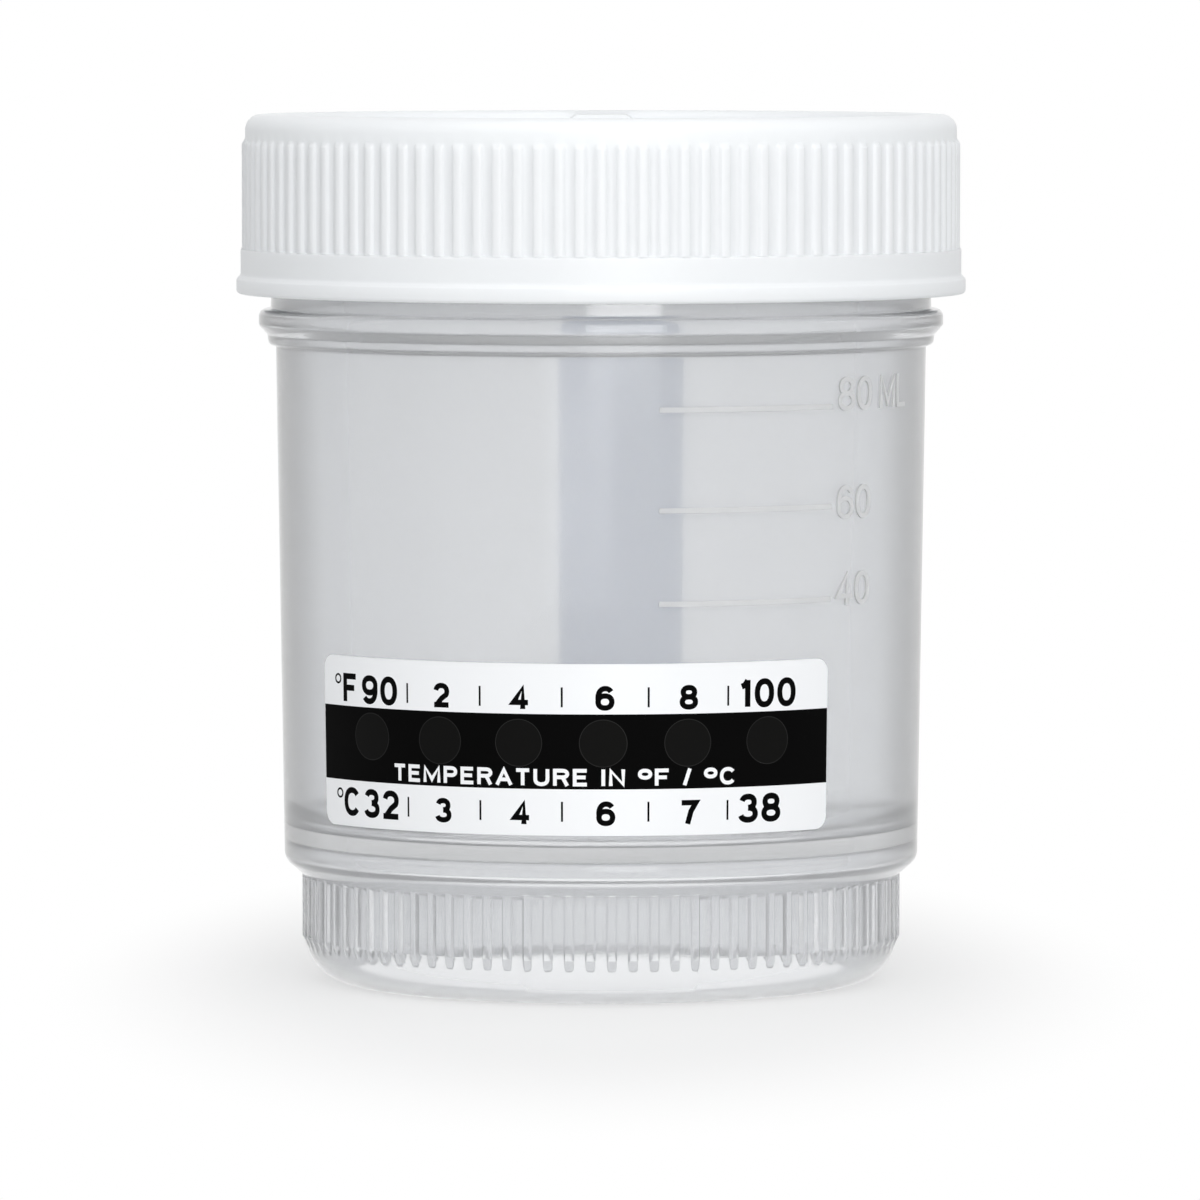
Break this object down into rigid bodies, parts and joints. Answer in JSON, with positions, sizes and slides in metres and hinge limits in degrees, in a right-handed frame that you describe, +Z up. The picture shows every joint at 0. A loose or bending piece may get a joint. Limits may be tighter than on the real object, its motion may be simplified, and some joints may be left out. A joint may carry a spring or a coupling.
{
  "type": "specimen container",
  "caption": "Translucent screw-capped cup with a ribbed foot, a white ribbed cap, raised volume marks and a temperature strip.",
  "frame": {"origin": "on the axis, in the plane of the foot ring that rests on the table", "axes": "+Z up along the cup's axis, -Y towards the front that carries the volume marks and the temperature strip"},
  "size_m": [0.0618, 0.0618, 0.0736],
  "materials": {
    "cup_plastic": "natural translucent moulded plastic, satin",
    "cap_plastic": "white moulded plastic, satin",
    "liner_foam": "soft white sealing foam",
    "strip_film": "printed adhesive film, satin",
    "blue_film": "pale blue adhesive film"
  },
  "bodies": {
    "cup": {"cup": "cup_plastic", "temperature_strip": "strip_film", "seal_strip": "blue_film"},
    "liner": {"cap_liner": "liner_foam"},
    "cap": {"cap": "cap_plastic"}
  },
  "joints": [
    {"name": "cap_lift", "type": "slide", "parent": "cup", "child": "liner", "axis": [0, 0, 1], "range_m": [0, 0.01524]},
    {"name": "cap_turn", "type": "hinge", "parent": "liner", "child": "cap", "pos_m": [0, 0, 0.0698], "axis": [0, 0, 1], "range_deg": [0, 1080]}
  ],
  "couplings": [
    {"joint": "cap_lift", "follows": "cap_turn", "m_per_rad": 0.0008085}
  ]
}
